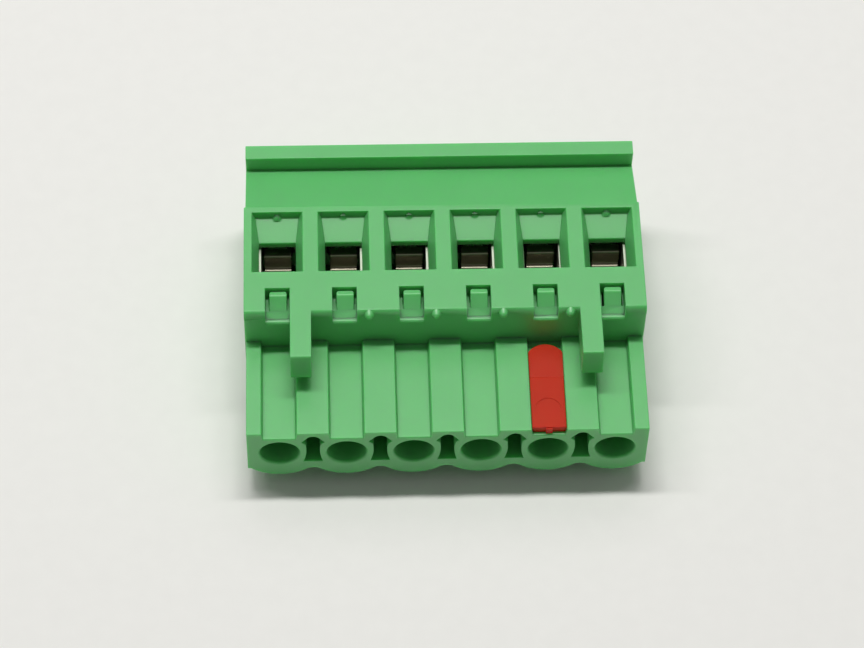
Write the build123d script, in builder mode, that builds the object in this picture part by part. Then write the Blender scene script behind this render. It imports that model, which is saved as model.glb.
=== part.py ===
from build123d import *
import os

# Pluggable screw terminal block with six poles, lying on the side opposite its wire entries.
# The plug's nose points to -Y, the wires enter from above (+Z), and the clamp screws turn
# about axes along Y and are reached from behind (+Y). Millimetres, origin at the middle of
# the base. "Depth" runs back from the nose's front face and "height" up from the base.

os.makedirs("parts", exist_ok=True)

# Poles
poles = 6
pitch = 5.08
coded_poles = [5]

# Nose: the moulding that enters the mating header
nose_length = 8.32
nose_inset = 0.08
socket_height = 4.5
socket_bore = 2.97
socket_length = 2.4
socket_bevel = 0.12
ring_radius = 3.1
valley_drop = 2.17
valley_round = 0.5
rib_rise = 2.78
channel_width = 2.67
channel_floor_width = 2.47
channel_sink = 0.73

# Coding slots between the sockets
slot_end_wall = 1.28
slot_crown_rise = 2.32
slot_crown_side_rise = 2.05
slot_crown_half = 0.45
slot_tip_rise = 1.5
slot_tip_half = 0.87
slot_shoulder_rise = 1.2
slot_shoulder_half = 0.57
slot_waist_rise = 0.5
slot_waist_half = 0.5
slot_foot_drop = 1.22
slot_foot_half = 0.72

# Body: the moulding that holds the clamps
body_edge_round = 0.35
base_edge_round = 0.3
rear_inset = 0.12
ridge_thickness = 1.26
ridge_drop = 0.09
ridge_foot_drop = 1.64
ridge_round = 0.22
slope_setback = 0.51

# Wire funnels in the body's top
funnel_width = 3.9
funnel_length = 5.49
funnel_setback = 3.88
throat_width = 2.85
throat_length = 3.54
throat_depth = 0.6
shelf_drop = 0.67
funnel_rear_drop = 0.72
pip_radius = 0.4
pip_top_radius = 0.18
pip_height = 0.42
pip_foot = 0.1
end_pip_sink = 0.03
middle_pip_sink = 0.13

# Latch windows, arms and beads along the body's front edge
window_width = 1.85
window_length = 2.36
window_depth = 1.28
sill_round = 0.2
arm_width = 1.6
arm_reach = 3.87
arm_height = 2.77
arm_round = 0.3
arm_tip_round = 0.12
bead_radius = 0.37
bead_top_radius = 0.19
bead_reach = 0.33
bead_drop = 0.4
bead_offset = 1.84

# Clamp: tension sleeve, screw and current bar
thread_radius = 1.25
thread_clearance = 0.05
head_radius = 1.92
head_length = 1.5
head_gap = 0.21
head_clearance = 0.08
head_play = 0.4
drive_slot_width = 0.6
drive_slot_depth = 0.8
drive_slot_turn = 37
lip_radius = 1.8
lip_length = 1.2
sleeve_height = 4.3
sleeve_foot_gap = 1.1
sleeve_side_wall = 0.6
sleeve_front_wall = 0.8
sleeve_rear_wall = 1.5
sleeve_inside_width = 2.66
sleeve_round = 0.45
sleeve_shift = 0.09
jaw_groove = 0.12
bar_width = 2.1
bar_thickness = 0.8
bar_rise = 1.3
bar_round = 0.15
ledge_step = 0.3
ledge_drop = 0.38
wire_space = 2.6
bar_gap = 0.7
closing_gap = 0.1
slide_gap = 0.03
screw_tip_gap = 0.02
chamber_overhang = 0.2
chamber_end_gap = 0.1

# Contact fork that takes the header's pin
fork_setback = 3.0
fork_width = 1.5
fork_metal = 0.4
fork_mouth_half = 0.85
fork_grip_half = 0.42
fork_flare = 0.9
fork_root_half = 1.1
fork_root_length = 0.8
fork_root_setback = 0.5
foot_drop = 0.95
contact_room = 0.3

# Joint between the two mouldings
end_wall = 0.84
spigot_cover = 0.37
fit_gap = 0.03
front_skin = 0.35
tongue_width = 1.6
tongue_thickness = 0.57
tongue_front_drop = 1.2
tongue_knee_drop = 1.0
hook_width = 1.32
hook_shift = 0.05
hook_reach = 2.25
hook_crest_length = 0.43
hook_crest_drop = 0.27
hook_end_drop = 0.33
hook_tooth_length = 0.55
hook_tooth_drop = 0.45
hook_corner_round = 0.2

# Coding tab
tab_setback = 0.28
tab_rear_gap = 0.62
tab_thickness = 0.69
tab_end_bow = 0.7
tab_gap = 0.02
tab_mark_radius = 1.0
tab_mark_centre = 1.57
tab_mark_depth = 0.05
tab_nub_width = 0.5
tab_nub_length = 0.15
tab_nub_height = 0.6

# Cutting shapes run this far past the faces that they cut
cut_over = 1.0

# Heights that follow from the sizes above, from the sockets up through the clamp to the top
rib_height = socket_height + rib_rise
channel_height = rib_height - channel_sink
foot_top = socket_height - foot_drop
foot_bottom = foot_top - bar_thickness
fork_root_top = socket_height + fork_root_half
contact_ceiling = fork_root_top + contact_room
screw_height = foot_top + sleeve_foot_gap + sleeve_height / 2
sleeve_top = screw_height + sleeve_height / 2
chamber_top = sleeve_top + chamber_end_gap
shelf_front_height = chamber_top + throat_depth
shelf_rear_height = shelf_front_height + shelf_drop
body_height = shelf_rear_height + funnel_rear_drop
pip_base_height = shelf_rear_height - pip_foot
window_floor = body_height - window_depth
bead_height = body_height - bead_drop
ridge_height = body_height - ridge_drop
ridge_foot_height = body_height - ridge_foot_drop
tongue_front_height = body_height - tongue_front_drop
tongue_knee_height = body_height - tongue_knee_drop
hook_crest_height = body_height - hook_crest_drop
hook_end_height = body_height - hook_end_drop
hook_tooth_height = window_floor - hook_tooth_drop + fit_gap
opening_bottom = foot_bottom - spigot_cover

# Lengths along the plug: the body is as long as the open clamp, its screw's head and the lip
sleeve_length = sleeve_front_wall + wire_space + bar_thickness + bar_gap + sleeve_rear_wall
sleeve_travel = wire_space - ledge_step - closing_gap
chamber_length = sleeve_length + sleeve_travel + 2 * chamber_end_gap
chamber_setback = funnel_setback - chamber_overhang
body_length = chamber_setback + chamber_length + head_gap + head_length + head_play + lip_length

# Places along Y, from the nose's front face to the rear
front_y = -(nose_length + body_length) / 2
fork_y = front_y + fork_setback
wall_y = front_y + nose_length
fork_root_y = wall_y + fork_root_setback
fork_arm_y = fork_root_y - fork_root_length
tongue_y = wall_y + front_skin + fit_gap
knee_y = tongue_y + tongue_thickness
hook_end_y = wall_y + hook_reach
funnel_front_y = wall_y + funnel_setback
throat_rear_y = funnel_front_y + throat_length
funnel_rear_y = funnel_front_y + funnel_length
slope_y = funnel_rear_y + slope_setback
chamber_y = wall_y + chamber_setback
sleeve_y = chamber_y + chamber_end_gap
jaw_y = sleeve_y + sleeve_front_wall
bar_y = jaw_y + wire_space
bar_rear_y = bar_y + bar_thickness
nut_y = bar_rear_y + bar_gap
sleeve_rear_y = sleeve_y + sleeve_length
chamber_rear_y = chamber_y + chamber_length
head_y = chamber_rear_y + head_gap
lip_y = head_y + head_length + head_play
rear_y = lip_y + lip_length
ridge_y = rear_y - ridge_thickness

# Places along X
pole_xs = [(pole - (poles - 1) / 2) * pitch for pole in range(poles)]
slot_xs = [x + pitch / 2 for x in pole_xs[:-1]]
body_width = poles * pitch
nose_width = body_width - 2 * nose_inset
sleeve_half = sleeve_inside_width / 2 + sleeve_side_wall
chamber_half = sleeve_half + sleeve_shift + slide_gap
contact_half = fork_width / 2 + contact_room
opening_half = body_width / 2 - end_wall
sleeve_shifts = [sleeve_shift, -sleeve_shift, -sleeve_shift, -sleeve_shift, 0, -sleeve_shift]
jaw_groove_rises = [-0.7, 0.7]

# The coding tab fills its channel from just behind the nose's front face
tab_x = pole_xs[coded_poles[0] - 1]
tab_length = nose_length - tab_setback - tab_rear_gap
tab_y = front_y + tab_setback
tab_round_y = tab_y + tab_length - tab_end_bow
tab_foot = channel_height + tab_gap
tab_top = tab_foot + tab_thickness
tab_foot_half = channel_floor_width / 2 - tab_gap
tab_top_half = channel_width / 2 - tab_gap


def facing_plane(y):
    """The upright plane at this y, with local x along +X and local y along +Z."""
    return Plane.XZ.offset(-y)


def middle(low, high):
    """The point halfway between two places on one axis."""
    return (low + high) / 2


# Wire funnel: wide at the top, with leaning sides and a sloping shelf behind the throat
with BuildPart() as funnel_space:
    with BuildSketch(Plane.YZ):
        with BuildLine():
            Polyline(
                (funnel_front_y, body_height + cut_over),
                (funnel_rear_y, body_height + cut_over),
                (funnel_rear_y, shelf_rear_height),
                (throat_rear_y, shelf_front_height),
                (throat_rear_y, chamber_top - chamber_end_gap),
                (funnel_front_y, chamber_top - chamber_end_gap),
                close=True,
            )
        make_face()
    extrude(amount=funnel_width, both=True)
    with BuildSketch(facing_plane(middle(funnel_front_y, funnel_rear_y))):
        with BuildLine():
            Polyline(
                (-funnel_width / 2, body_height + cut_over),
                (-funnel_width / 2, body_height),
                (-throat_width / 2, shelf_front_height),
                (-throat_width / 2, chamber_top - cut_over),
                (throat_width / 2, chamber_top - cut_over),
                (throat_width / 2, shelf_front_height),
                (funnel_width / 2, body_height),
                (funnel_width / 2, body_height + cut_over),
                close=True,
            )
        make_face()
    extrude(amount=funnel_length, both=True, mode=Mode.INTERSECT)

# Latch window: open to the front over a sill with a rounded edge
with BuildPart() as window_space:
    with BuildSketch(Plane.YZ) as window_profile:
        with BuildLine():
            Polyline(
                (wall_y - cut_over, body_height + cut_over),
                (wall_y + window_length, body_height + cut_over),
                (wall_y + window_length, window_floor),
                (wall_y, window_floor),
                (wall_y, window_floor - cut_over),
                (wall_y - cut_over, window_floor - cut_over),
                close=True,
            )
        make_face()
        fillet(window_profile.vertices().sort_by_distance((wall_y, window_floor))[0], sill_round)
    extrude(amount=window_width / 2, both=True)

# Body: side profile first, then the clamp chambers, funnels, driver holes and latch windows
with BuildPart() as body_housing:
    with BuildSketch(Plane.YZ) as side_profile:
        with BuildLine():
            Polyline(
                (wall_y, 0),
                (rear_y, 0),
                (rear_y, ridge_height),
                (ridge_y, ridge_height),
                (ridge_y, ridge_foot_height),
                (slope_y, body_height),
                (wall_y, body_height),
                close=True,
            )
        make_face()
        corners = side_profile.vertices()
        fillet(corners.sort_by_distance((wall_y, body_height))[0], body_edge_round)
        fillet(corners.sort_by_distance((ridge_y, ridge_height))[0], ridge_round)
        fillet(corners.sort_by_distance((rear_y, ridge_height))[0], ridge_round)
        fillet(corners.sort_by_distance((rear_y, 0))[0], base_edge_round)
        fillet(corners.sort_by_distance((wall_y, 0))[0], base_edge_round)
    extrude(amount=body_width / 2, both=True)

    # Latching arms over the nose, level with the body's top
    with BuildSketch(Plane.XY.offset(body_height)):
        with Locations(
            (pole_xs[0] + (window_width + arm_width) / 2, wall_y),
            (pole_xs[-1] - (window_width + arm_width) / 2, wall_y),
        ):
            Rectangle(arm_width, 2 * arm_reach)
    extrude(amount=-arm_height)
    arm_tips = body_housing.faces().filter_by(Axis.Y).group_by(Axis.Y)[0]
    fillet(arm_tips.edges().filter_by(Axis.X).group_by(Axis.Z)[0], arm_round)
    fillet(arm_tips.edges().filter_by(Axis.X).group_by(Axis.Z)[-1], arm_tip_round)

    # Beads at the top of the front wall, beside the windows of the middle poles
    bead_places = [(x + bead_offset, bead_height) for x in pole_xs[1:-1]]
    with BuildSketch(facing_plane(wall_y + body_edge_round)):
        with Locations(*bead_places):
            Circle(bead_radius)
    extrude(amount=body_edge_round)
    with Locations(facing_plane(wall_y)):
        with Locations(*bead_places):
            Cone(bead_radius, bead_top_radius, bead_reach, align=(Align.CENTER, Align.CENTER, Align.MIN))

    # Ends drawn in behind the funnels
    with BuildSketch(Plane.XY):
        with Locations(
            (body_width / 2, middle(slope_y, rear_y)),
            (-body_width / 2, middle(slope_y, rear_y)),
        ):
            Rectangle(2 * rear_inset, rear_y - slope_y)
    extrude(amount=body_height, mode=Mode.SUBTRACT)

    # Front opening that the nose's spigot enters
    with BuildSketch(facing_plane(wall_y)):
        with Locations((0, middle(opening_bottom, channel_height))):
            Rectangle(2 * opening_half, channel_height - opening_bottom)
    extrude(amount=wall_y - chamber_y, mode=Mode.SUBTRACT)

    # Clamp chambers, one for each pole
    with BuildSketch(Plane.XY.offset(foot_bottom)):
        with Locations(*[(x, middle(chamber_y, chamber_rear_y)) for x in pole_xs]):
            Rectangle(2 * chamber_half, chamber_rear_y - chamber_y)
    extrude(amount=chamber_top - foot_bottom, mode=Mode.SUBTRACT)

    # Driver holes: a seat for the screw head and a narrower lip that keeps it in
    with BuildSketch(facing_plane(chamber_rear_y)):
        with Locations(*[(x, screw_height) for x in pole_xs]):
            Circle(head_radius + head_clearance)
    extrude(amount=chamber_rear_y - lip_y, mode=Mode.SUBTRACT)
    with BuildSketch(facing_plane(lip_y)):
        with Locations(*[(x, screw_height) for x in pole_xs]):
            Circle(lip_radius)
    extrude(amount=lip_y - rear_y, mode=Mode.SUBTRACT)

    # Funnels, each with a pip on its rear wall
    with Locations(*[(x, 0, 0) for x in pole_xs]):
        add(funnel_space.part, mode=Mode.SUBTRACT)
    with Locations(
        *[(x, funnel_rear_y + middle_pip_sink, pip_base_height) for x in pole_xs[1:-1]],
        *[(x, funnel_rear_y + end_pip_sink, pip_base_height) for x in (pole_xs[0], pole_xs[-1])],
    ):
        Cone(pip_radius, pip_top_radius, pip_height, align=(Align.CENTER, Align.CENTER, Align.MIN))

    # Latch windows, the slots in their floors for the tongues and the pits for the hooks' teeth
    with Locations(*[(x, 0, 0) for x in pole_xs]):
        add(window_space.part, mode=Mode.SUBTRACT)
    with BuildSketch(Plane.XY.offset(channel_height)):
        with Locations(*[(x, middle(tongue_y, knee_y)) for x in pole_xs]):
            Rectangle(tongue_width + 2 * fit_gap, tongue_thickness + 2 * fit_gap)
    extrude(amount=window_floor - channel_height, mode=Mode.SUBTRACT)
    with BuildSketch(Plane.XY.offset(window_floor)):
        with Locations(*[(x + hook_shift, hook_end_y - hook_tooth_length / 2) for x in pole_xs]):
            Rectangle(hook_width + 2 * fit_gap, hook_tooth_length + 2 * fit_gap)
    extrude(amount=-hook_tooth_drop, mode=Mode.SUBTRACT)
body_housing.part.label = "body_housing"
export_step(body_housing.part, "parts/body_housing.step")

# Coding slot: a domed crown with undercut tips, a waist along the rings and a flared foot
with BuildSketch() as slot_outline:
    with BuildLine():
        ThreePointArc(
            (slot_crown_half, slot_crown_side_rise),
            (0, slot_crown_rise),
            (-slot_crown_half, slot_crown_side_rise),
        )
        Polyline(
            (-slot_crown_half, slot_crown_side_rise),
            (-slot_tip_half, slot_tip_rise),
            (-slot_shoulder_half, slot_shoulder_rise),
        )
        ThreePointArc(
            (-slot_shoulder_half, slot_shoulder_rise),
            (-slot_waist_half, slot_waist_rise),
            (-slot_foot_half, -slot_foot_drop),
        )
        Line((-slot_foot_half, -slot_foot_drop), (slot_foot_half, -slot_foot_drop))
        ThreePointArc(
            (slot_foot_half, -slot_foot_drop),
            (slot_waist_half, slot_waist_rise),
            (slot_shoulder_half, slot_shoulder_rise),
        )
        Polyline(
            (slot_shoulder_half, slot_shoulder_rise),
            (slot_tip_half, slot_tip_rise),
            (slot_crown_half, slot_crown_side_rise),
        )
    make_face()

# Channel between two ribs, wider at the top than at its floor
with BuildSketch() as channel_outline:
    with BuildLine():
        Polyline(
            (-channel_floor_width / 2, 0),
            (-channel_width / 2, channel_sink),
            (-channel_width / 2, channel_sink + cut_over),
            (channel_width / 2, channel_sink + cut_over),
            (channel_width / 2, channel_sink),
            (channel_floor_width / 2, 0),
            close=True,
        )
    make_face()

# Nose: scalloped underside, ribs and channels on top, sockets with coding slots between them
with BuildPart() as contact_carrier:
    with BuildSketch(facing_plane(front_y)) as nose_profile:
        with Locations((0, socket_height + middle(-valley_drop, rib_rise))):
            Rectangle(nose_width, rib_rise + valley_drop)
        with Locations(*[(x, socket_height) for x in pole_xs]):
            Circle(ring_radius)
        with Locations((0, rib_height)):
            Rectangle(nose_width, 2 * ring_radius, align=(Align.CENTER, Align.MIN), mode=Mode.SUBTRACT)
        with Locations((nose_width / 2, socket_height)):
            Rectangle(ring_radius, 4 * ring_radius, align=(Align.MIN, Align.CENTER), mode=Mode.SUBTRACT)
        with Locations((-nose_width / 2, socket_height)):
            Rectangle(ring_radius, 4 * ring_radius, align=(Align.MAX, Align.CENTER), mode=Mode.SUBTRACT)
        low_corners = nose_profile.vertices().group_by(Axis.Y)[0]
        fillet(low_corners.filter_by_position(Axis.X, pole_xs[0], pole_xs[-1]), valley_round)
        with Locations(*[(x, channel_height) for x in pole_xs]):
            add(channel_outline.sketch, mode=Mode.SUBTRACT)
    extrude(amount=-nose_length)

    # Tongues that rise behind the skin of the body's front wall and hook backwards in its windows
    for x in pole_xs:
        with BuildSketch(Plane.YZ.offset(x)):
            with BuildLine():
                Polyline(
                    (tongue_y, contact_ceiling),
                    (tongue_y, tongue_front_height),
                    (knee_y, tongue_knee_height),
                    (knee_y, contact_ceiling),
                    close=True,
                )
            make_face()
        extrude(amount=tongue_width / 2, both=True)
        with BuildSketch(Plane.YZ.offset(x + hook_shift)):
            with BuildLine():
                Polyline(
                    (middle(tongue_y, knee_y), window_floor + fit_gap),
                    (middle(tongue_y, knee_y), middle(tongue_front_height, tongue_knee_height)),
                    (knee_y, tongue_knee_height),
                    (hook_end_y - hook_crest_length, hook_crest_height),
                    (hook_end_y, hook_end_height),
                    (hook_end_y, hook_tooth_height),
                    (hook_end_y - hook_tooth_length, hook_tooth_height),
                    (hook_end_y - hook_tooth_length, window_floor + fit_gap),
                    close=True,
                )
            make_face()
        extrude(amount=hook_width / 2, both=True)
    hook_corners = contact_carrier.edges().filter_by(Axis.Z).group_by(Axis.Y)[-1]
    fillet(hook_corners, hook_corner_round)

    # Spigot that closes the clamp chambers from the front
    with BuildSketch(facing_plane(wall_y)):
        with Locations((0, middle(opening_bottom, channel_height))):
            Rectangle(2 * (opening_half - fit_gap), channel_height - opening_bottom - 2 * fit_gap)
    extrude(amount=wall_y + fit_gap - chamber_y)

    # Sockets, and the wider chambers behind them for the contact forks
    with BuildSketch(facing_plane(front_y)):
        with Locations(*[(x, socket_height) for x in pole_xs]):
            Circle(socket_bore / 2)
    extrude(amount=-socket_length, mode=Mode.SUBTRACT)
    front_face = contact_carrier.faces().filter_by(Axis.Y).sort_by(Axis.Y)[0]
    chamfer(ShapeList(wire.edge() for wire in front_face.inner_wires()), socket_bevel)
    with BuildSketch(facing_plane(front_y + socket_length)):
        with Locations(*[(x, middle(foot_bottom, contact_ceiling)) for x in pole_xs]):
            Rectangle(2 * contact_half, contact_ceiling - foot_bottom)
    extrude(amount=front_y + socket_length - chamber_y, mode=Mode.SUBTRACT)

    # Coding slots between the sockets
    with BuildSketch(facing_plane(front_y)):
        with Locations(*[(x, socket_height) for x in slot_xs]):
            add(slot_outline.sketch)
    extrude(amount=slot_end_wall - nose_length, mode=Mode.SUBTRACT)
contact_carrier.part.label = "contact_carrier"
export_step(contact_carrier.part, "parts/contact_carrier.step")

# Coding tab: fills one channel, round at its inner end, with a shallow round mark on top
with BuildPart() as coding_tab:
    with BuildSketch(facing_plane(tab_y)):
        with BuildLine():
            Polyline(
                (tab_x - tab_foot_half, tab_foot),
                (tab_x - tab_top_half, tab_top),
                (tab_x + tab_top_half, tab_top),
                (tab_x + tab_foot_half, tab_foot),
                close=True,
            )
        make_face()
    extrude(amount=-tab_length)
    with BuildSketch(Plane.XY.offset(tab_foot)):
        with BuildLine():
            Polyline(
                (tab_x - tab_top_half, tab_round_y),
                (tab_x - tab_top_half, tab_y),
                (tab_x + tab_top_half, tab_y),
                (tab_x + tab_top_half, tab_round_y),
            )
            ThreePointArc(
                (tab_x + tab_top_half, tab_round_y),
                (tab_x, tab_round_y + tab_end_bow),
                (tab_x - tab_top_half, tab_round_y),
            )
        make_face()
    extrude(amount=tab_thickness, mode=Mode.INTERSECT)
    with BuildSketch(Plane.XY.offset(tab_foot)):
        with Locations((tab_x, tab_y)):
            Rectangle(tab_nub_width, 2 * tab_nub_length)
    extrude(amount=tab_nub_height)
    with BuildSketch(Plane.XY.offset(tab_top)):
        with Locations((tab_x, tab_y + tab_mark_centre)):
            Circle(tab_mark_radius)
    extrude(amount=-tab_mark_depth, mode=Mode.SUBTRACT)
coding_tab.part.label = "coding_tab"
export_step(coding_tab.part, "parts/coding_tab.step")

for number, x in enumerate(pole_xs, start=1):
    # Contact: the current bar behind the wire, its foot and the fork in the nose
    with BuildPart() as contact:
        with BuildSketch(Plane.YZ.offset(x)) as bar_profile:
            with BuildLine():
                Polyline(
                    (fork_root_y, foot_bottom),
                    (bar_rear_y, foot_bottom),
                    (bar_rear_y, screw_height + bar_rise),
                    (bar_y, screw_height + bar_rise),
                    (bar_y, screw_height - ledge_drop),
                    (bar_y - ledge_step, screw_height - ledge_drop),
                    (bar_y - ledge_step, foot_top),
                    (fork_root_y, foot_top),
                    close=True,
                )
            make_face()
            corners = bar_profile.vertices()
            fillet(corners.sort_by_distance((bar_y, screw_height + bar_rise))[0], bar_round)
            fillet(corners.sort_by_distance((bar_y - ledge_step, screw_height - ledge_drop))[0], bar_round)
        extrude(amount=bar_width / 2, both=True)
        with BuildSketch(Plane.YZ.offset(x)):
            with Locations((middle(fork_arm_y, fork_root_y), middle(foot_bottom, fork_root_top))):
                Rectangle(fork_root_length, fork_root_top - foot_bottom)
            for side in (1, -1):
                with BuildLine():
                    Polyline(
                        (fork_arm_y, socket_height + side * fork_root_half),
                        (fork_y + fork_flare, socket_height + side * (fork_grip_half + fork_metal)),
                        (fork_y, socket_height + side * (fork_mouth_half + fork_metal)),
                        (fork_y, socket_height + side * fork_mouth_half),
                        (fork_y + fork_flare, socket_height + side * fork_grip_half),
                        (fork_arm_y, socket_height + side * (fork_root_half - fork_metal)),
                        close=True,
                    )
                make_face()
        extrude(amount=fork_width / 2, both=True)
    contact.part.label = f"contact_{number}"
    export_step(contact.part, f"parts/contact_{number}.step")

    # Tension sleeve: a rectangular loop round the bar, with the screw's thread in its rear wall
    sleeve_x = x + sleeve_shifts[number - 1]
    with BuildPart() as clamp_sleeve:
        with BuildSketch(Plane.XY.offset(sleeve_top)) as loop:
            with Locations((sleeve_x, middle(sleeve_y, sleeve_rear_y))):
                RectangleRounded(2 * sleeve_half, sleeve_rear_y - sleeve_y, sleeve_round)
            with Locations((sleeve_x, middle(jaw_y, nut_y))):
                Rectangle(sleeve_inside_width, nut_y - jaw_y, mode=Mode.SUBTRACT)
        extrude(amount=-sleeve_height)
        with BuildSketch(facing_plane(nut_y)):
            with Locations((x, screw_height)):
                Circle(thread_radius + thread_clearance)
        extrude(amount=nut_y - sleeve_rear_y, mode=Mode.SUBTRACT)
        with BuildSketch(Plane.YZ.offset(sleeve_x)):
            with Locations(*[(jaw_y, screw_height + rise) for rise in jaw_groove_rises]):
                RegularPolygon(jaw_groove, 4)
        extrude(amount=sleeve_inside_width / 2, both=True, mode=Mode.SUBTRACT)
    clamp_sleeve.part.label = f"clamp_sleeve_{number}"
    export_step(clamp_sleeve.part, f"parts/clamp_sleeve_{number}.step")

    # Clamp screw: it bears on the bar's rear face and turns in place, its head under the lip
    with BuildPart() as clamp_screw:
        with BuildSketch(Plane.YZ.offset(x)) as half_screw:
            with BuildLine():
                Polyline(
                    (bar_rear_y + screw_tip_gap, screw_height),
                    (bar_rear_y + screw_tip_gap, screw_height + thread_radius),
                    (head_y, screw_height + thread_radius),
                    (head_y, screw_height + head_radius),
                    (head_y + head_length, screw_height + head_radius),
                    (head_y + head_length, screw_height),
                    close=True,
                )
            make_face()
        revolve(axis=Axis((x, 0, screw_height), (0, 1, 0)))
        with BuildSketch(facing_plane(head_y + head_length)):
            with Locations(Location((x, screw_height), drive_slot_turn * number)):
                Rectangle(3 * head_radius, drive_slot_width)
        extrude(amount=drive_slot_depth, mode=Mode.SUBTRACT)
    clamp_screw.part.label = f"clamp_screw_{number}"
    export_step(clamp_screw.part, f"parts/clamp_screw_{number}.step")
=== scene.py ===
"""Finishes a pluggable terminal block: rounded mouldings, plated clamps and a plain studio."""

import math

import bmesh
import bpy
from bpy.props import FloatProperty, FloatVectorProperty, IntProperty, PointerProperty
from mathutils import Matrix, Vector


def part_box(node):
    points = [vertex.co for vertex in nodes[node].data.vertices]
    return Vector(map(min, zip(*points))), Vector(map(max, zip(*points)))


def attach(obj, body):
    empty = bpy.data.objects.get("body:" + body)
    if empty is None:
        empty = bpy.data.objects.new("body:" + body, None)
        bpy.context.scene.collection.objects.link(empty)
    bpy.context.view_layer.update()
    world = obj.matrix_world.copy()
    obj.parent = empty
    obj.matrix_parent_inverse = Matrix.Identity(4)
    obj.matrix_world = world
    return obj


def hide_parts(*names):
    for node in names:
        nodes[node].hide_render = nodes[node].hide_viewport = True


bl_info = {
    "name": "Terminal Block Finish",
    "version": (1, 0, 0),
    "blender": (4, 5, 0),
    "location": "View3D > Sidebar > Terminal Block",
    "description": "Rounds, details and lights a pluggable terminal block",
    "category": "Object",
}

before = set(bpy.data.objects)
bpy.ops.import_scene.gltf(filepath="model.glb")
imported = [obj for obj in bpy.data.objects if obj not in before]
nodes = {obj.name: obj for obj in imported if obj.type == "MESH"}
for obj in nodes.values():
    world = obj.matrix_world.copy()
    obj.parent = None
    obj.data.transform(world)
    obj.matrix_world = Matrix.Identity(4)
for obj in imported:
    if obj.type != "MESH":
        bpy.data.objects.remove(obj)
POLES = sum(name.startswith("clamp_screw_") for name in nodes)

# Pieces are shaped in millimetres and scaled back to metres when they are done
MM = 0.001

# The places below are in millimetres: X along the poles, Y from the nose to the screws, Z up
# The body's front wall, and the depth of the rounding along its top edge
WALL_Y = -3.735
BROW_DEPTH = 0.35

# Ribs and channels of the nose, and a height between the edges of the arms' end faces
RIB_TOP = 7.28
CHANNEL_FLOOR = 6.55
ARM_MIDDLE = 10.0

# Latch windows with their rounded sills, and the tongues that rise in them
WINDOW_FLOOR = 9.76
WINDOW_HALF = 0.925
SILL_ROUND = 0.2
TONGUE_Y = -3.07
TONGUE_HALF = 0.8
TONGUE_DEPTH = 0.57
TONGUE_FRONT = -3.375
KNEE_TOP = 10.04

# Beads on the front wall, measured from the poles, and pips behind the wire funnels
BEAD_SHIFT = 1.84
BEAD_RADIUS = 0.37
BEAD_Z = 10.64
BEAD_TIP = -4.065
PIP_Y = 5.65
PIP_RADIUS = 0.4
PIP_TOP = 10.64

# Round mark on the coding tab
MARK_Y = -10.205
MARK_RADIUS = 1.0

# Bar of a contact, and the ledge on its front
BAR_Y = 3.445
LEDGE_Y = 3.145
LEDGE_TOP = 6.42

# Places this near are the same
CLOSE = 0.01

# A zone reaches this far past the edges that it is made for
ROOM = 0.05

# Nothing on the block is as far out as this
FAR = 100
ANYWHERE = (-FAR, FAR)

# Corners this near are made one, and faces that turn by less than this are made one
WELD = 0.001
FLAT = math.radians(0.4)

# Edges that turn by more than this are rounded
SHARP_EDGE = math.radians(30)

# Faces that turn by less than this are shaded as one surface
SMOOTH_UP_TO = math.radians(50)


class MouldingFinish(bpy.types.PropertyGroup):
    """Look of the green housing and of the red coding tab."""

    edge_round: FloatProperty(
        name="Edge rounding",
        description="Width of the rounding on the mouldings' edges, in millimetres",
        default=0.07, min=0.01, max=0.2,
    )
    tab_round: FloatProperty(
        name="Tab rounding",
        description="Width of the rounding on the coding tab's edges, in millimetres",
        default=0.08, min=0.01, max=0.2,
    )
    front_round: FloatProperty(
        name="Front edge rounding",
        description="Width of the rounding on the channels' front edges, in millimetres",
        default=0.12, min=0.01, max=0.3,
    )
    bead_round: FloatProperty(
        name="Bead rounding",
        description="Width of the rounding that turns beads and pips into domes, in millimetres",
        default=0.13, min=0.01, max=0.15,
    )
    brow_height: FloatProperty(
        name="Brow height",
        description="Height of the rounding along the body's front top edge, in millimetres",
        default=0.8, min=0.35, max=1.2,
    )
    arm_lean: FloatProperty(
        name="Arm lean",
        description="How far the lower edge of an arm's tip stands forward, in millimetres",
        default=0.23, min=0.0, max=0.5,
    )
    tab_line_setback: FloatProperty(
        name="Tab line setback",
        description="Distance of the tab's cross line from the nose's front face, in millimetres",
        default=4.72, min=3.0, max=6.0,
    )
    tab_line_depth: FloatProperty(
        name="Tab line depth",
        description="Depth of the cross line on the tab, in millimetres",
        default=0.05, min=0.0, max=0.1,
    )
    green: FloatVectorProperty(
        name="Green",
        description="Colour of the housing's plastic",
        subtype="COLOR", size=3, default=(0.125, 0.5, 0.16), min=0.0, max=1.0,
    )
    red: FloatVectorProperty(
        name="Red",
        description="Colour of the coding tab's plastic",
        subtype="COLOR", size=3, default=(0.52, 0.027, 0.006), min=0.0, max=1.0,
    )
    roughness: FloatProperty(
        name="Roughness",
        description="Middle roughness of the plastic",
        subtype="FACTOR", default=0.35, min=0.0, max=1.0,
    )
    depth_share: FloatProperty(
        name="Depth of the light",
        description="Share of the light that enters the plastic and comes out a little further on",
        subtype="FACTOR", default=0.8, min=0.0, max=1.0,
    )


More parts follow.
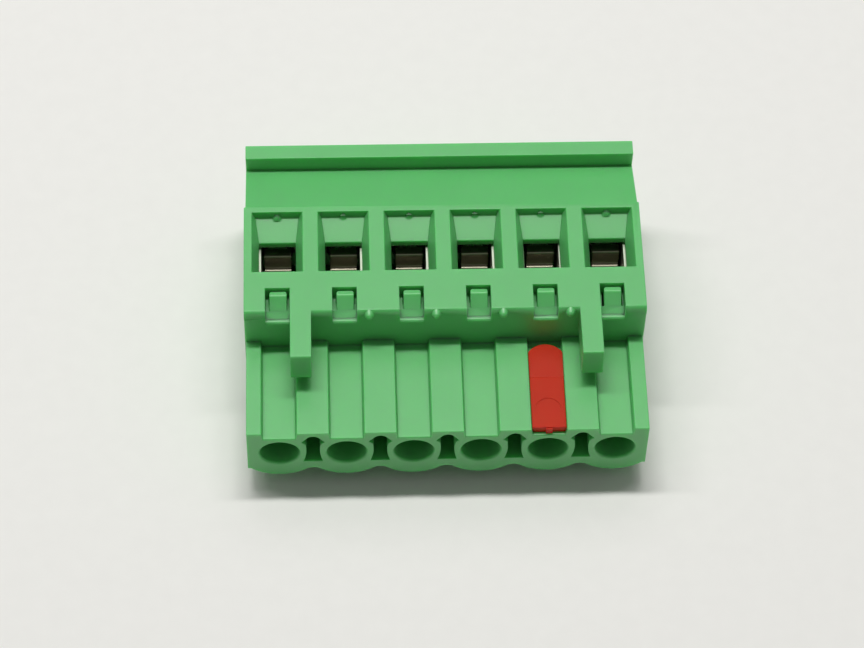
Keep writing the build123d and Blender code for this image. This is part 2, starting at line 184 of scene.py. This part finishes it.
class ClampFinish(bpy.types.PropertyGroup):
    """Look of the sleeves, screws and contacts."""

    edge_round: FloatProperty(
        name="Edge rounding",
        description="Width of the rounding on the metal pieces' edges, in millimetres",
        default=0.05, min=0.01, max=0.1,
    )
    thread_pitch: FloatProperty(
        name="Thread pitch",
        description="Pitch of the clamp screws' thread, in millimetres",
        default=0.45, min=0.3, max=0.8,
    )
    thread_depth: FloatProperty(
        name="Thread depth",
        description="Depth of the clamp screws' thread, in millimetres",
        default=0.22, min=0.1, max=0.4,
    )
    thread_steps: IntProperty(
        name="Thread steps",
        description="Steps in each turn of the thread",
        default=20, min=8, max=48,
    )
    # The nickel colour is tinted green: a painted reflection of the green housing round the
    # sleeves
    nickel_and_painted_green_reflection: FloatVectorProperty(
        name="Nickel",
        description="Colour of the sleeves' plating",
        subtype="COLOR", size=3, default=(0.53, 0.57, 0.46), min=0.0, max=1.0,
    )
    zinc: FloatVectorProperty(
        name="Zinc",
        description="Colour of the screws' plating",
        subtype="COLOR", size=3, default=(0.6, 0.61, 0.62), min=0.0, max=1.0,
    )
    # The tin colour is darker and browner than tin: painted shade and painted dark reflection of
    # the wire funnels round the contacts' bars
    tin_and_painted_shade: FloatVectorProperty(
        name="Tin",
        description="Colour of the contacts' plating",
        subtype="COLOR", size=3, default=(0.36, 0.33, 0.25), min=0.0, max=1.0,
    )
    ledge_forward: FloatProperty(
        name="Ledge forward",
        description="How far a contact's ledge stands out towards the nose, in millimetres",
        default=0.08, min=0.0, max=0.08,
    )
    ledge_rise: FloatProperty(
        name="Ledge rise",
        description="How far a contact's ledge is raised, in millimetres",
        default=0.28, min=0.0, max=0.5,
    )
    ledge_round: FloatProperty(
        name="Ledge rounding",
        description="Width of the rounding on the front edge of a contact's ledge, in millimetres",
        default=0.12, min=0.01, max=0.15,
    )


class StudioSetup(bpy.types.PropertyGroup):
    """Camera, lamps and floor."""

    aim: FloatVectorProperty(
        name="Aim",
        description="Point that the camera looks at",
        subtype="TRANSLATION", unit="LENGTH", size=3,
        default=(-0.00094147, -0.00251664, 0.00746619),
    )
    distance: FloatProperty(
        name="Distance",
        description="Distance from the camera to the point that it looks at",
        subtype="DISTANCE", unit="LENGTH", default=0.24865, min=0.05,
    )
    turn: FloatProperty(
        name="Turn",
        description="Turn of the camera round the block, clockwise seen from above",
        subtype="ANGLE", unit="ROTATION", default=math.radians(3.306),
    )
    elevation: FloatProperty(
        name="Elevation",
        description="Angle by which the camera looks down",
        subtype="ANGLE", unit="ROTATION", default=math.radians(56.889),
    )
    roll: FloatProperty(
        name="Roll",
        description="Roll of the camera about its own axis",
        subtype="ANGLE", unit="ROTATION", default=math.radians(-1.891),
    )
    lens: FloatProperty(
        name="Lens",
        description="Focal length in millimetres, on a sensor 36 mm wide",
        default=135.35, min=10.0,
    )
    key_power: FloatProperty(
        name="Key lamp",
        description="Power of the small lamp that gives the shadow in front of the block its edge",
        subtype="POWER", unit="POWER", default=0.85, min=0.0,
    )
    tube_power: FloatProperty(
        name="Tube lamp",
        description="Power of the long narrow lamp over the block",
        subtype="POWER", unit="POWER", default=1.15, min=0.0,
    )
    window_power: FloatProperty(
        name="Window lamp",
        description="Power of the soft lamp behind the block that flat faces and metal reflect",
        subtype="POWER", unit="POWER", default=0.27, min=0.0,
    )
    sky_power: FloatProperty(
        name="Sky lamp",
        description="Power of the very large and soft lamp over the block",
        subtype="POWER", unit="POWER", default=0.45, min=0.0,
    )
    surround: FloatProperty(
        name="Surround",
        description="Light that comes from all round",
        default=0.13, min=0.0, max=1.0,
    )
    paper: FloatVectorProperty(
        name="Floor colour",
        description="Colour of the pale floor",
        subtype="COLOR", size=3, default=(0.84, 0.833, 0.797), min=0.0, max=1.0,
    )


def choose_only(piece):
    """Makes one object the only selected and the active one."""
    bpy.ops.object.select_all(action="DESELECT")
    piece.select_set(True)
    bpy.context.view_layer.objects.active = piece


def apply_modifier(piece, kind, name, **settings):
    """Adds a modifier with these settings and applies it."""
    modifier = piece.modifiers.new(name, kind)
    for key, value in settings.items():
        setattr(modifier, key, value)
    choose_only(piece)
    bpy.ops.object.modifier_apply(modifier=name)


def pole_places():
    """The places of the poles along the row, in millimetres, from their screws' boxes."""
    boxes = [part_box(f"clamp_screw_{number}") for number in range(1, POLES + 1)]
    return [(low[0] + high[0]) / 2 / MM for low, high in boxes]


def piece_front(piece):
    """The foremost place of a piece."""
    return min(vertex.co.y for vertex in piece.data.vertices)


def piece_top(piece):
    """The highest place of a piece."""
    return max(vertex.co.z for vertex in piece.data.vertices)


def near(place, reach=CLOSE):
    """The span round a place, up to this far away."""
    return place - reach, place + reach


def zone(x=ANYWHERE, y=ANYWHERE, z=ANYWHERE, width=0.0):
    """A part of the block, as its low and high corners and the width of the rounding in it."""
    low, high = zip(x, y, z)
    return low, high, width


def start_from(node, name):
    """Copies a node's mesh into a piece of its own, with whole faces, in millimetres."""
    piece = bpy.data.objects.new(name, nodes[node].data.copy())
    bpy.context.scene.collection.objects.link(piece)
    piece.data.materials.clear()
    choose_only(piece)
    if piece.data.has_custom_normals:
        bpy.ops.mesh.customdata_custom_splitnormals_clear()
    piece.scale = Vector((1, 1, 1)) / MM
    bpy.ops.object.transform_apply(location=False, rotation=False, scale=True)
    bpy.ops.object.mode_set(mode="EDIT")
    bpy.ops.mesh.select_all(action="SELECT")
    bpy.ops.mesh.remove_doubles(threshold=WELD)
    bpy.ops.mesh.dissolve_limited(angle_limit=FLAT)
    bpy.ops.object.mode_set(mode="OBJECT")
    return piece


def round_edges(piece, width, zones=()):
    """Rounds sharp edges by this width, or by that of the first zone that an edge lies in."""
    widest = max([width, *(own_width for low, high, own_width in zones)])
    mesh = bmesh.new()
    mesh.from_mesh(piece.data)
    weight = mesh.edges.layers.float.new("bevel_weight_edge")
    for edge in mesh.edges:
        if len(edge.link_faces) == 2 and edge.calc_face_angle() > SHARP_EDGE:
            own = [own_width for low, high, own_width in zones if lies_in(edge, low, high)]
            edge[weight] = (own[0] if own else width) / widest
    mesh.to_mesh(piece.data)
    mesh.free()
    apply_modifier(
        piece, "BEVEL", "rounded edges",
        width=widest, segments=2, limit_method="WEIGHT", use_clamp_overlap=False,
    )


def lies_in(edge, low, high):
    """Whether both ends of an edge lie between two corners."""
    return all(
        low[axis] < vertex.co[axis] < high[axis]
        for vertex in edge.verts for axis in range(3)
    )


def finish_piece(piece, material, body, node):
    """Smooths a piece, scales it back to metres and puts it in its node's place."""
    choose_only(piece)
    bpy.ops.object.shade_smooth_by_angle(angle=SMOOTH_UP_TO)
    apply_modifier(piece, "WEIGHTED_NORMAL", "flat faces", keep_sharp=True)
    piece.scale = Vector((1, 1, 1)) * MM
    bpy.ops.object.transform_apply(location=False, rotation=False, scale=True)
    piece.data.materials.append(material)
    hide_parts(node)
    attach(piece, body)


def new_material(name):
    """Makes an empty node material and returns its tree, its shader and its coordinates."""
    material = bpy.data.materials.new(name)
    material.use_nodes = True
    tree = material.node_tree
    tree.nodes.clear()
    output = tree.nodes.new("ShaderNodeOutputMaterial")
    shader = tree.nodes.new("ShaderNodeBsdfPrincipled")
    tree.links.new(shader.outputs["BSDF"], output.inputs["Surface"])
    place = tree.nodes.new("ShaderNodeTexCoord").outputs["Object"]
    return material, tree, shader, place


def add_noise(tree, place, size, detail=2.0, stretch=(1, 1, 1)):
    """Adds a noise whose grains are about this many metres across, and returns its value."""
    mapping = tree.nodes.new("ShaderNodeMapping")
    mapping.inputs["Scale"].default_value = stretch
    tree.links.new(place, mapping.inputs["Vector"])
    noise = tree.nodes.new("ShaderNodeTexNoise")
    noise.inputs["Scale"].default_value = 1 / size
    noise.inputs["Detail"].default_value = detail
    tree.links.new(mapping.outputs["Vector"], noise.inputs["Vector"])
    return noise.outputs["Fac"]


def vary_color(tree, shader, value, color, share):
    """Lets a value turn the shader's colour darker and lighter by this share."""
    ramp = tree.nodes.new("ShaderNodeValToRGB")
    ramp.color_ramp.interpolation = "EASE"
    ramp.color_ramp.elements[0].position = 0.1
    ramp.color_ramp.elements[1].position = 0.9
    ramp.color_ramp.elements[0].color = (*(band * (1 - share) for band in color), 1)
    ramp.color_ramp.elements[1].color = (*(min(band * (1 + share), 1) for band in color), 1)
    tree.links.new(value, ramp.inputs["Fac"])
    tree.links.new(ramp.outputs["Color"], shader.inputs["Base Color"])


def vary_roughness(tree, shader, value, low, high):
    """Lets a value move the shader's roughness between two levels."""
    span = tree.nodes.new("ShaderNodeMapRange")
    span.inputs["From Min"].default_value = 0.2
    span.inputs["From Max"].default_value = 0.8
    span.inputs["To Min"].default_value = low
    span.inputs["To Max"].default_value = high
    tree.links.new(value, span.inputs["Value"])
    tree.links.new(span.outputs["Result"], shader.inputs["Roughness"])


def add_bump(tree, shader, value, height, strength):
    """Lets a value raise the surface by up to this many metres."""
    bump = tree.nodes.new("ShaderNodeBump")
    bump.inputs["Strength"].default_value = strength
    bump.inputs["Distance"].default_value = height
    tree.links.new(value, bump.inputs["Height"])
    tree.links.new(bump.outputs["Normal"], shader.inputs["Normal"])


def moulded_plastic(name, color, look, gloss=0.5):
    """Satin moulded polyamide: faint flow clouds, an even sheen and a very fine grain."""
    material, tree, shader, place = new_material(name)
    clouds = add_noise(tree, place, size=0.0035, detail=3.0)
    grain = add_noise(tree, place, size=0.00016, detail=2.0)
    vary_color(tree, shader, clouds, color, share=0.025)
    vary_roughness(tree, shader, clouds, look.roughness - 0.03, look.roughness + 0.03)
    add_bump(tree, shader, grain, height=0.000002, strength=0.4)
    shader.inputs["Specular IOR Level"].default_value = gloss
    shader.inputs["IOR"].default_value = 1.5
    shader.inputs["Subsurface Weight"].default_value = look.depth_share
    spread = [max(band, 0.1) / max(color) for band in color]
    shader.inputs["Subsurface Radius"].default_value = spread
    shader.inputs["Subsurface Scale"].default_value = 0.001
    return material


def plated_metal(name, color, low, high, stretch):
    """Plated metal with fine scratches along one direction."""
    material, tree, shader, place = new_material(name)
    clouds = add_noise(tree, place, size=0.0012, detail=3.0)
    scratches = add_noise(tree, place, size=0.0003, detail=4.0, stretch=stretch)
    vary_color(tree, shader, clouds, color, share=0.08)
    vary_roughness(tree, shader, scratches, low, high)
    add_bump(tree, shader, scratches, height=0.000002, strength=0.4)
    shader.inputs["Metallic"].default_value = 1.0
    return material


class FinishHousing(bpy.types.Operator):
    """Round the edges of the body that holds the clamps and give it green plastic"""

    bl_idname = "terminal_block.finish_housing"
    bl_label = "Finish Housing"

    def execute(self, context):
        look = context.scene.terminal_moulding
        piece = start_from("body_housing", "housing_shell")
        self.lean_arms(piece, look)
        self.stretch_brow(piece, look)
        brow = zone(
            y=(WALL_Y - CLOSE, WALL_Y + BROW_DEPTH + CLOSE),
            z=(WINDOW_FLOOR - SILL_ROUND - ROOM, FAR),
        )
        joint = zone(y=near(WALL_Y), z=(-FAR, RIB_TOP + CLOSE))
        beads = zone(y=near(BEAD_TIP), z=near(BEAD_Z, BEAD_RADIUS), width=look.bead_round)
        pips = zone(y=near(PIP_Y, PIP_RADIUS + ROOM), z=near(PIP_TOP), width=look.bead_round)
        slots = [
            zone(
                x=near(x, TONGUE_HALF + ROOM),
                y=near(TONGUE_Y, TONGUE_DEPTH / 2 + ROOM),
                z=near(WINDOW_FLOOR, ROOM),
            )
            for x in pole_places()
        ]
        round_edges(piece, look.edge_round, [brow, joint, beads, pips, *slots])
        plastic = moulded_plastic("green moulded plastic", look.green, look)
        finish_piece(piece, plastic, "housing", "body_housing")
        return {"FINISHED"}

    def lean_arms(self, piece, look):
        """Leans the end faces of the two arms, so that the lower edge stands a little forward."""
        tip = piece_front(piece)
        for vertex in piece.data.vertices:
            if vertex.co.y < tip + CLOSE and vertex.co.z < ARM_MIDDLE:
                vertex.co.y = tip - look.arm_lean

    def stretch_brow(self, piece, look):
        """Makes the rounding along the front top edge taller, and sets the beads' feet on it."""
        top = piece_top(piece)
        beads = [x + BEAD_SHIFT for x in pole_places()]
        for vertex in piece.data.vertices:
            on_brow = WALL_Y - CLOSE < vertex.co.y < WALL_Y + BROW_DEPTH + CLOSE
            sunk = top - vertex.co.z
            if not on_brow or sunk > look.brow_height:
                continue
            if min(abs(vertex.co.x - x) for x in beads) < BEAD_RADIUS + CLOSE:
                if sunk > CLOSE:
                    height = (vertex.co.z - top + look.brow_height) / look.brow_height
                    vertex.co.y = WALL_Y + BROW_DEPTH * (1 - math.sqrt(1 - height * height))
            elif sunk < BROW_DEPTH + CLOSE:
                vertex.co.z = top - sunk * look.brow_height / BROW_DEPTH


class FinishNose(bpy.types.Operator):
    """Round the edges of the nose with its sockets and latch hooks and give it green plastic"""

    bl_idname = "terminal_block.finish_nose"
    bl_label = "Finish Nose"

    def execute(self, context):
        look = context.scene.terminal_moulding
        piece = start_from("contact_carrier", "nose_carrier")
        self.widen_tongues(piece)
        joint = zone(y=near(WALL_Y))
        tongue_fronts = zone(y=near(TONGUE_FRONT, ROOM), z=near(WINDOW_FLOOR, 2 * ROOM))
        tongue_sides = [
            zone(
                x=near(x + side * WINDOW_HALF, ROOM),
                y=near(TONGUE_Y, TONGUE_DEPTH / 2 + ROOM),
                z=(WINDOW_FLOOR - ROOM, KNEE_TOP + ROOM),
            )
            for x in pole_places() for side in (-1, 1)
        ]
        front = piece_front(piece)
        channel_fronts = zone(y=near(front), z=near(CHANNEL_FLOOR, ROOM), width=look.front_round)
        round_edges(piece, look.edge_round, [joint, tongue_fronts, *tongue_sides, channel_fronts])
        plastic = moulded_plastic("green nose plastic", look.green, look)
        finish_piece(piece, plastic, "housing", "contact_carrier")
        return {"FINISHED"}

    def widen_tongues(self, piece):
        """Spreads the tongues over the windows' sills, to close the windows from side to side."""
        cut = WINDOW_FLOOR + 2 * CLOSE
        choose_only(piece)
        bpy.ops.object.mode_set(mode="EDIT")
        bpy.ops.mesh.select_all(action="SELECT")
        bpy.ops.mesh.bisect(plane_co=(0, 0, cut), plane_no=(0, 0, 1))
        bpy.ops.object.mode_set(mode="OBJECT")
        poles = pole_places()
        tongue_end = TONGUE_Y + TONGUE_DEPTH / 2 + ROOM
        for vertex in piece.data.vertices:
            if vertex.co.z > cut + CLOSE and vertex.co.y < tongue_end:
                x = min(poles, key=lambda place: abs(vertex.co.x - place))
                if abs(abs(vertex.co.x - x) - TONGUE_HALF) < CLOSE:
                    vertex.co.x = x + math.copysign(WINDOW_HALF - CLOSE, vertex.co.x - x)
                if vertex.co.y < TONGUE_FRONT + ROOM:
                    vertex.co.y = TONGUE_FRONT
                    vertex.co.z = WINDOW_FLOOR + CLOSE


class FinishTab(bpy.types.Operator):
    """Press the cross line into the coding tab, round its edges and give it red plastic"""

    bl_idname = "terminal_block.finish_tab"
    bl_label = "Finish Coding Tab"

    def execute(self, context):
        look = context.scene.terminal_moulding
        piece = start_from("coding_tab", "coding_key")
        nose_low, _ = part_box("contact_carrier")
        line_y = nose_low[1] / MM + look.tab_line_setback
        top = piece_top(piece)
        bpy.ops.object.mode_set(mode="EDIT")
        for shift in (-look.tab_line_depth, 0, look.tab_line_depth):
            bpy.ops.mesh.select_all(action="SELECT")
            bpy.ops.mesh.bisect(plane_co=(0, line_y + shift, 0), plane_no=(0, 1, 0))
        bpy.ops.object.mode_set(mode="OBJECT")
        for vertex in piece.data.vertices:
            if abs(vertex.co.y - line_y) < look.tab_line_depth / 2 and top - vertex.co.z < CLOSE:
                vertex.co.z -= look.tab_line_depth
        surface = (top - look.tab_line_depth - CLOSE, top + CLOSE)
        mark = zone(y=near(MARK_Y, MARK_RADIUS + CLOSE), z=surface)
        line = zone(y=near(line_y, look.tab_line_depth + CLOSE), z=surface)
        front = zone(y=(-FAR, MARK_Y - MARK_RADIUS - ROOM))
        round_edges(piece, look.tab_round, [mark, line, front])
        plastic = moulded_plastic("red moulded plastic", look.red, look, gloss=0.12)
        finish_piece(piece, plastic, "coding_tab", "coding_tab")
        return {"FINISHED"}


class FinishSleeves(bpy.types.Operator):
    """Round the edges of the six clamp sleeves and give them nickel plating, tinted green as a
    painted reflection of the green housing
    """

    bl_idname = "terminal_block.finish_sleeves"
    bl_label = "Finish Clamp Sleeves"

    def execute(self, context):
        look = context.scene.terminal_clamp
        # Nickel plating whose green tint is a painted reflection of the housing
        plating = plated_metal("nickel plating", look.nickel_and_painted_green_reflection, 0.3, 0.42, stretch=(1, 0.1, 1))
        for number in range(1, POLES + 1):
            node = f"clamp_sleeve_{number}"
            piece = start_from(node, f"tension_sleeve_{number}")
            round_edges(piece, look.edge_round)
            finish_piece(piece, plating, f"sleeve_{number}", node)
        return {"FINISHED"}


class FinishContacts(bpy.types.Operator):
    """Round the edges of the six contacts and give them tin plating, darkened and browned as
    painted shade of the wire funnels round them
    """

    bl_idname = "terminal_block.finish_contacts"
    bl_label = "Finish Contacts"

    def execute(self, context):
        look = context.scene.terminal_clamp
        # Tin plating darkened and browned as painted shade of the wire funnels
        plating = plated_metal("tin plating", look.tin_and_painted_shade, 0.28, 0.45, stretch=(0.1, 1, 1))
        for number in range(1, POLES + 1):
            node = f"contact_{number}"
            piece = start_from(node, f"current_bar_{number}")
            self.raise_ledge(piece, look)
            ledge = zone(
                y=near(LEDGE_Y - look.ledge_forward), z=near(LEDGE_TOP + look.ledge_rise),
                width=look.ledge_round,
            )
            round_edges(piece, look.edge_round, [ledge])
            finish_piece(piece, plating, "housing", node)
        return {"FINISHED"}

    def raise_ledge(self, piece, look):
        """Moves the ledge on the contact's bar up and forward, to where light reaches it."""
        for vertex in piece.data.vertices:
            if abs(vertex.co.y - LEDGE_Y) < CLOSE:
                vertex.co.y -= look.ledge_forward
            if vertex.co.y < BAR_Y + CLOSE and abs(vertex.co.z - LEDGE_TOP) < CLOSE:
                vertex.co.z += look.ledge_rise


class FinishScrews(bpy.types.Operator):
    """Cut a thread round the six clamp screws, round their heads and give them zinc plating"""

    bl_idname = "terminal_block.finish_screws"
    bl_label = "Finish Clamp Screws"

    def execute(self, context):
        look = context.scene.terminal_clamp
        plating = plated_metal("zinc plating", look.zinc, 0.2, 0.35, stretch=(1, 0.15, 1))
        for number in range(1, POLES + 1):
            node = f"clamp_screw_{number}"
            piece = start_from(node, f"threaded_screw_{number}")
            round_edges(piece, look.edge_round)
            self.add_thread(piece, look)
            finish_piece(piece, plating, f"screw_{number}", node)
        return {"FINISHED"}

    def add_thread(self, piece, look):
        """Narrows the shank to the thread's root and winds the thread's ridge round it."""
        places = [vertex.co.copy() for vertex in piece.data.vertices]
        low = Vector(min(place[axis] for place in places) for axis in range(3))
        high = Vector(max(place[axis] for place in places) for axis in range(3))
        centre = (low + high) / 2
        tip = [place for place in places if place.y < low.y + CLOSE]
        radius = look.edge_round + max(
            math.hypot(place.x - centre.x, place.z - centre.z) for place in tip
        )
        shank_end = min(
            place.y for place in places
            if math.hypot(place.x - centre.x, place.z - centre.z) > radius + ROOM
        )
        root = radius - look.thread_depth
        foot = root - 2 * CLOSE
        half = look.thread_pitch * 0.45
        for vertex in piece.data.vertices:
            out = math.hypot(vertex.co.x - centre.x, vertex.co.z - centre.z)
            if vertex.co.y < shank_end + CLOSE and out < radius + ROOM:
                vertex.co.x = centre.x + (vertex.co.x - centre.x) * root / radius
                vertex.co.z = centre.z + (vertex.co.z - centre.z) * root / radius
        length = shank_end - low.y - look.thread_pitch
        turns = int(length / look.thread_pitch) - 1

        bpy.ops.object.select_all(action="DESELECT")
        bpy.ops.mesh.primitive_circle_add(vertices=3, fill_type="NOTHING")
        ridge = bpy.context.active_object
        corners = ((foot, -half), (radius - CLOSE, 0), (foot, half))
        for vertex, (out, along) in zip(ridge.data.vertices, corners):
            vertex.co = (out, along, 0)
        apply_modifier(
            ridge, "SCREW", "thread",
            axis="Y", angle=2 * math.pi, screw_offset=look.thread_pitch, iterations=turns,
            steps=look.thread_steps, render_steps=look.thread_steps,
        )
        choose_only(ridge)
        bpy.ops.object.mode_set(mode="EDIT")
        bpy.ops.mesh.select_all(action="SELECT")
        bpy.ops.mesh.fill_holes(sides=3)
        bpy.ops.mesh.normals_make_consistent(inside=False)
        bpy.ops.object.mode_set(mode="OBJECT")
        ridge.location = (centre.x, low.y + look.thread_pitch, centre.z)
        bpy.ops.object.transform_apply(location=True, rotation=True, scale=True)
        bpy.ops.object.select_all(action="DESELECT")
        ridge.select_set(True)
        piece.select_set(True)
        bpy.context.view_layer.objects.active = piece
        bpy.ops.object.join()


class SetStudio(bpy.types.Operator):
    """Lay the pale floor, hang the lamps and place the camera"""

    bl_idname = "terminal_block.set_studio"
    bl_label = "Set Studio"

    def execute(self, context):
        setup = context.scene.terminal_studio
        self.lay_floor(setup)
        # Name, power, width and depth, place, and lean in degrees
        for name, power, size, place, lean in (
            ("key lamp", setup.key_power, (0.2, 0.03), (-0.02, 0.087, 0.49), -10),
            ("tube lamp", setup.tube_power, (0.56, 0.03), (-0.07, 0.087, 0.49), -10),
            ("window lamp", setup.window_power, (0.3, 0.22), (0, 0.327, 0.503), -33),
            ("sky lamp", setup.sky_power, (1.2, 0.9), (0, 0.15, 0.5), 0),
        ):
            self.hang_lamp(name, power, size, place, math.radians(lean))
        self.light_world(context, setup)
        self.place_camera(context, setup)
        context.scene.view_settings.view_transform = "Standard"
        return {"FINISHED"}

    def lay_floor(self, setup):
        """A large pale sheet with the faint tooth of paper."""
        bpy.ops.object.select_all(action="DESELECT")
        bpy.ops.mesh.primitive_plane_add(size=4)
        floor = bpy.context.active_object
        floor.name = "floor"
        bpy.ops.object.mode_set(mode="EDIT")
        bpy.ops.mesh.select_all(action="SELECT")
        bpy.ops.mesh.subdivide(number_cuts=3)
        bpy.ops.object.mode_set(mode="OBJECT")
        material, tree, shader, place = new_material("pale paper")
        fibres = add_noise(tree, place, size=0.0015, detail=4.0)
        vary_color(tree, shader, fibres, setup.paper, share=0.012)
        add_bump(tree, shader, fibres, height=0.00002, strength=0.3)
        shader.inputs["Roughness"].default_value = 0.85
        shader.inputs["Specular IOR Level"].default_value = 0.2
        floor.data.materials.append(material)

    def hang_lamp(self, name, power, size, place, lean):
        """A rectangular lamp that the camera doesn't see, turned about X by its lean."""
        bpy.ops.object.light_add(type="AREA", location=place, rotation=(lean, 0, 0))
        lamp = bpy.context.active_object
        lamp.name = name
        lamp.data.shape = "RECTANGLE"
        lamp.data.size = size[0]
        lamp.data.size_y = size[1]
        lamp.data.energy = power
        lamp.visible_camera = False

    def light_world(self, context, setup):
        """A weak grey surround for light and reflections, and a near white one for the camera."""
        world = bpy.data.worlds.new("studio surround")
        world.use_nodes = True
        tree = world.node_tree
        surround = tree.nodes["Background"]
        path = tree.nodes.new("ShaderNodeLightPath")
        strength = tree.nodes.new("ShaderNodeMapRange")
        strength.inputs["To Min"].default_value = setup.surround
        strength.inputs["To Max"].default_value = 0.95
        tree.links.new(path.outputs["Is Camera Ray"], strength.inputs["Value"])
        tree.links.new(strength.outputs["Result"], surround.inputs["Strength"])
        surround.inputs["Color"].default_value = (1, 1, 1, 1)
        context.scene.world = world

    def place_camera(self, context, setup):
        """The camera at the photograph's angle, aimed at one point of the block."""
        turned = (
            Matrix.Rotation(-setup.turn, 4, "Z")
            @ Matrix.Rotation(math.pi / 2 - setup.elevation, 4, "X")
            @ Matrix.Rotation(-setup.roll, 4, "Z")
        )
        back = turned @ Vector((0, 0, setup.distance))
        bpy.ops.object.camera_add()
        camera = bpy.context.active_object
        camera.name = "camera"
        camera.matrix_world = Matrix.Translation(Vector(setup.aim) + back) @ turned
        camera.data.sensor_width = 36
        camera.data.lens = setup.lens
        camera.data.clip_start = 0.01
        context.scene.camera = camera


class TerminalPanel(bpy.types.Panel):
    """Lists the steps that finish the terminal block and the values that they use."""

    bl_idname = "VIEW3D_PT_terminal_block"
    bl_label = "Terminal Block"
    bl_space_type = "VIEW_3D"
    bl_region_type = "UI"
    bl_category = "Terminal Block"

    def draw(self, context):
        layout = self.layout
        for step in STEPS:
            layout.operator(step.bl_idname)
        for name, group in GROUPS.items():
            box = layout.box()
            for value in group.__annotations__:
                box.prop(getattr(context.scene, name), value)


GROUPS = {
    "terminal_moulding": MouldingFinish,
    "terminal_clamp": ClampFinish,
    "terminal_studio": StudioSetup,
}
STEPS = (
    FinishHousing, FinishNose, FinishTab, FinishSleeves, FinishContacts, FinishScrews, SetStudio,
)


def register():
    for name, group in GROUPS.items():
        bpy.utils.register_class(group)
        setattr(bpy.types.Scene, name, PointerProperty(type=group))
    for step in STEPS:
        bpy.utils.register_class(step)
    bpy.utils.register_class(TerminalPanel)


def unregister():
    bpy.utils.unregister_class(TerminalPanel)
    for step in reversed(STEPS):
        bpy.utils.unregister_class(step)
    for name, group in GROUPS.items():
        delattr(bpy.types.Scene, name)
        bpy.utils.unregister_class(group)


def main():
    """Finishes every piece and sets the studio."""
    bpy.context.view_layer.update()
    register()
    bpy.ops.terminal_block.finish_housing()
    bpy.ops.terminal_block.finish_nose()
    bpy.ops.terminal_block.finish_tab()
    bpy.ops.terminal_block.finish_sleeves()
    bpy.ops.terminal_block.finish_contacts()
    bpy.ops.terminal_block.finish_screws()
    bpy.ops.terminal_block.set_studio()


if __name__ == "__main__":
    main()
